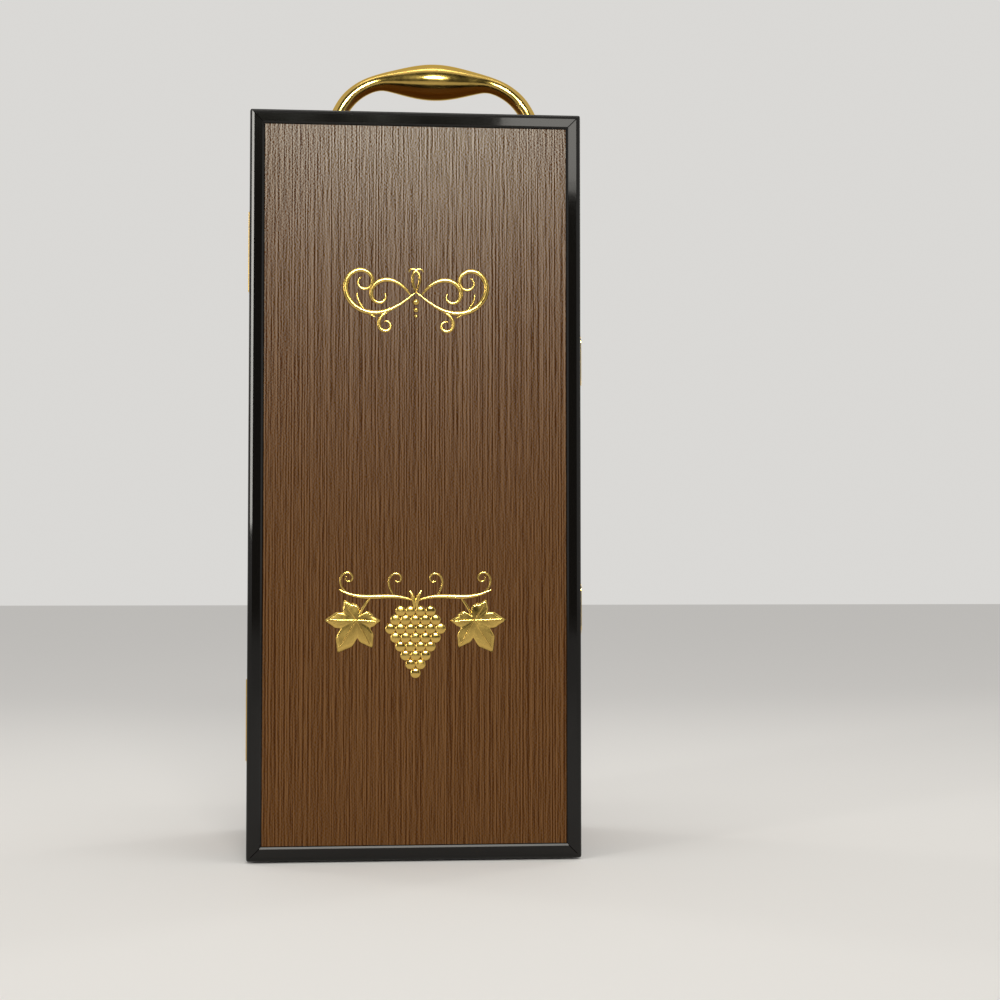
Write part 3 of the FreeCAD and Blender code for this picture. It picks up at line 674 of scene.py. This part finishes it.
# %% [markdown]
# ## Felt under the case
# A sheet of black felt keeps the lacquer off the table. It is a flat sheet with edges that are cut, not
# moulded, so a thin block with its edges barely rounded is enough, and the fibres are in the material.

# %% Felt
FELT_SHADES = (0.006, 0.006, 0.006, 1.0), (0.03, 0.029, 0.028, 1.0)
WOOL, WOOL_DEPTH = (0.5, 0.5, 0.5), 0.2
FELT_EDGE = 0.25

felt_finish, tree, shader = new_finish("felt", Roughness=0.97, Specular_IOR_Level=0.1, Sheen_Weight=0.3)
wool = noise(tree, WOOL, detail=4.0, rough=0.7)
tint(tree, shader, wool, *FELT_SHADES)
relief(tree, shader, wool, WOOL_DEPTH)

felt_low, felt_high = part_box("base_felt")
felt_size = felt_high - felt_low
sheet = bmesh.new()
bmesh.ops.create_cube(sheet, size=1.0)
bmesh.ops.scale(sheet, verts=sheet.verts, vec=felt_size)
bmesh.ops.translate(sheet, verts=sheet.verts, vec=(felt_low + felt_high) / 2)
bmesh.ops.bevel(sheet, geom=list(sheet.edges), offset=FELT_EDGE * MM, affect="EDGES", segments=2,
                profile=0.5, material=-1)
felt = keep("felt_sheet", sheet, felt_finish, "case")
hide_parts("base_felt")
print("felt:", tuple(round(x / MM, 1) for x in felt_size), "mm")

# %% [markdown]
# ## Screw heads
# The solids of the screws have plain heads. A cross-shaped recess makes them screws, and two rows of thin
# blades, cut from a copy of the heads with the Boolean modifier, are the quickest way to it.

# %% Screws with cross recesses
RECESS_LENGTH = 2.0
RECESS_WIDTH = 0.45
RECESS_DEPTH = 0.6
RECESS_TURNS = (40, 130)
RIM_MARGIN = 1e-5
SHARP_ANGLE = math.radians(35)
SCREW_FACES = {
    "hinge_screws_case": ("case", Vector((0, -1, 0))),
    "hinge_screws_door": ("door", Vector((0, 1, 0))),
    "hasp_screws_case": ("case", Vector((1, 0, 0))),
    "hasp_screws_door": ("door", Vector((1, 0, 0))),
}


def islands(shape):
    """Groups of points that hang together."""
    left = set(shape.verts)
    while left:
        group, edge = set(), [left.pop()]
        while edge:
            vert = edge.pop()
            group.add(vert)
            fresh = {e.other_vert(vert) for e in vert.link_edges} & left
            left -= fresh
            edge.extend(fresh)
        yield group


def blades(name, heads, out, turn):
    """Thin blocks that stand in the heads of the screws."""
    cutter = bmesh.new()
    size = Matrix.Diagonal((RECESS_WIDTH * MM, RECESS_LENGTH * MM, 2 * RECESS_DEPTH * MM, 1.0))
    aim = out.to_track_quat("Z", "Y").to_matrix().to_4x4() @ Matrix.Rotation(turn, 4, "Z")
    for head in heads:
        bmesh.ops.create_cube(cutter, size=1.0, matrix=Matrix.Translation(head) @ aim @ size)
    mesh = bpy.data.meshes.new(name)
    cutter.to_mesh(mesh)
    cutter.free()
    made = bpy.data.objects.new(name, mesh)
    bpy.context.scene.collection.objects.link(made)
    return made


def recessed_screws(node, body, out):
    """Copy of a node of screws with a cross recess in each head."""
    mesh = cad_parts[node].data.copy()
    shape = bmesh.new()
    shape.from_mesh(mesh)
    bmesh.ops.remove_doubles(shape, verts=shape.verts, dist=WELD)
    heads = []
    for group in islands(shape):
        top = max(v.co.dot(out) for v in group)
        rim = [v.co for v in group if v.co.dot(out) > top - RIM_MARGIN]
        heads.append(sum(rim, Vector()) / len(rim))
    shape.to_mesh(mesh)
    shape.clear()
    holder = bpy.data.objects.new("screw_blanks", mesh)
    bpy.context.scene.collection.objects.link(holder)
    cutters = [blades("blades", heads, out, math.radians(turn)) for turn in RECESS_TURNS]
    for cutter in cutters:
        cut = holder.modifiers.new("recess", "BOOLEAN")
        cut.operation = "DIFFERENCE"
        cut.object = cutter
    shape.from_object(holder, bpy.context.evaluated_depsgraph_get())
    for scrap in [holder] + cutters:
        bpy.data.objects.remove(scrap)
    piece = keep("recessed_" + node, shape, gold_plate, body)
    piece.data.set_sharp_from_angle(angle=SHARP_ANGLE)
    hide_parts(node)
    return len(heads)


for node, (body, out) in SCREW_FACES.items():
    print(node, recessed_screws(node, body, out), "heads")

# %% [markdown]
# ## Floor and light
# A plain pale floor carries the shadow. Gloss black and gold need something to reflect, so the studio has
# soft boxes that show as bright shapes, and a dark wall behind the camera that keeps the blacks black. Each
# box has a grid, which keeps its light on the object and off the far floor. One lamp could both glance off
# the laminate and light the matt surfaces, but then the colours would come out brighter than they are
# written, so the panel above the camera is there for the gloss, and a weaker key light does the rest.

# %% Floor, wall and world
FLOOR_COLOUR = (0.80, 0.79, 0.78, 1.0)
FLOOR_SIZE = 12.0
WALL_COLOUR = (0.02, 0.02, 0.02, 1.0)
WALL_SIZE = 6.0
WALL_PLACE = (0.0, -3.2, 2.0)
BACKGROUND = (0.70, 0.69, 0.67, 1.0)
FILL = 0.9


def studio_world(name, fill):
    """Pale surroundings that the camera and the gloss see, with a dimmer fill for matt surfaces."""
    world = bpy.data.worlds.new(name)
    world.use_nodes = True
    tree = world.node_tree
    rays = add(tree, "LightPath")
    seen = rays.outputs["Is Camera Ray"]
    for kind in ("Is Glossy Ray", "Is Transmission Ray"):
        seen = add(tree, "Math", {0: seen, 1: rays.outputs[kind]}, operation="MAXIMUM").outputs[0]
    sky = tree.nodes["Background"]
    sky.inputs["Color"].default_value = BACKGROUND
    plug(tree, spread(tree, seen, 0.0, 1.0, fill, 1.0), sky.inputs["Strength"])
    bpy.context.scene.world = world


def flat_stage(name, size, place, turn, colour):
    """A plain sheet of the studio, such as the floor or a wall."""
    sheet = bmesh.new()
    bmesh.ops.create_grid(sheet, x_segments=1, y_segments=1, size=size / 2)
    bmesh.ops.rotate(sheet, verts=sheet.verts, matrix=Matrix.Rotation(turn, 3, "X"))
    bmesh.ops.translate(sheet, verts=sheet.verts, vec=place)
    mesh = bpy.data.meshes.new(name)
    sheet.to_mesh(mesh)
    sheet.free()
    mesh.materials.append(new_finish(name, Base_Color=colour, Roughness=1.0, Specular_IOR_Level=0.0)[0])
    made = bpy.data.objects.new(name, mesh)
    bpy.context.scene.collection.objects.link(made)
    return made


studio_world("studio", FILL)
floor = flat_stage("floor", FLOOR_SIZE, (0.0, 0.0, 0.0), 0.0, FLOOR_COLOUR)
dark_wall = flat_stage("dark_wall", WALL_SIZE, WALL_PLACE, math.radians(90), WALL_COLOUR)
dark_wall.visible_camera = False
dark_wall.visible_diffuse = False
dark_wall.visible_shadow = False
print("floor", FLOOR_SIZE, "m, wall", WALL_SIZE, "m")

# %% Soft boxes
LAMP_COLOUR = (1.0, 0.97, 0.9)
SKY_COLOUR = (0.97, 1.0, 0.87)
GRID_ANGLE = math.radians(30)
BOX_MIDDLE = Vector((0.0, 0.0, 0.17))
SKY_PLACE, SKY_SIZE = (0.07, -2.05, 1.09), (0.66, 0.24)
SKY_RADIANCE = 130.0
KEY_RADIANCE = 48.0
BOXES = (
    ("window_box", (0.33, -2.05, 0.84), (0.24, 0.19), 7.6),
    ("left_strip", (-1.69, -1.55, 0.6), (0.2, 0.8), 20.0),
    ("right_rim", (1.5, 1.1, 0.8), (0.3, 0.9), 6.0),
    ("left_rim", (-1.5, 1.1, 0.8), (0.3, 0.9), 6.0),
    ("top_strip", (0.0, -0.26, 1.5), (1.1, 0.12), 8.0),
)


def softbox(name, place, size, radiance, colour=LAMP_COLOUR, matt=True, gloss=True):
    """Area lamp with a grid, turned to the box, of a given brightness in a reflection."""
    lamp = bpy.data.lights.new(name, "AREA")
    lamp.shape = "RECTANGLE"
    lamp.size, lamp.size_y = size
    lamp.spread = 2 * GRID_ANGLE
    gain = math.tan(GRID_ANGLE) / (math.tan(GRID_ANGLE) - GRID_ANGLE)
    lamp.energy = radiance * size[0] * size[1] * math.pi / gain
    lamp.color = colour
    made = bpy.data.objects.new(name, lamp)
    made.location = place
    made.rotation_euler = (BOX_MIDDLE - Vector(place)).to_track_quat("-Z", "Y").to_euler()
    made.visible_camera = False
    made.visible_diffuse = matt
    made.visible_glossy = gloss
    bpy.context.scene.collection.objects.link(made)
    return made


softbox("sky_panel", SKY_PLACE, SKY_SIZE, SKY_RADIANCE, SKY_COLOUR, matt=False)
softbox("key_light", SKY_PLACE, SKY_SIZE, KEY_RADIANCE, gloss=False)
for name, place, size, radiance in BOXES:
    softbox(name, place, size, radiance)
print("soft boxes:", len(BOXES) + 2)
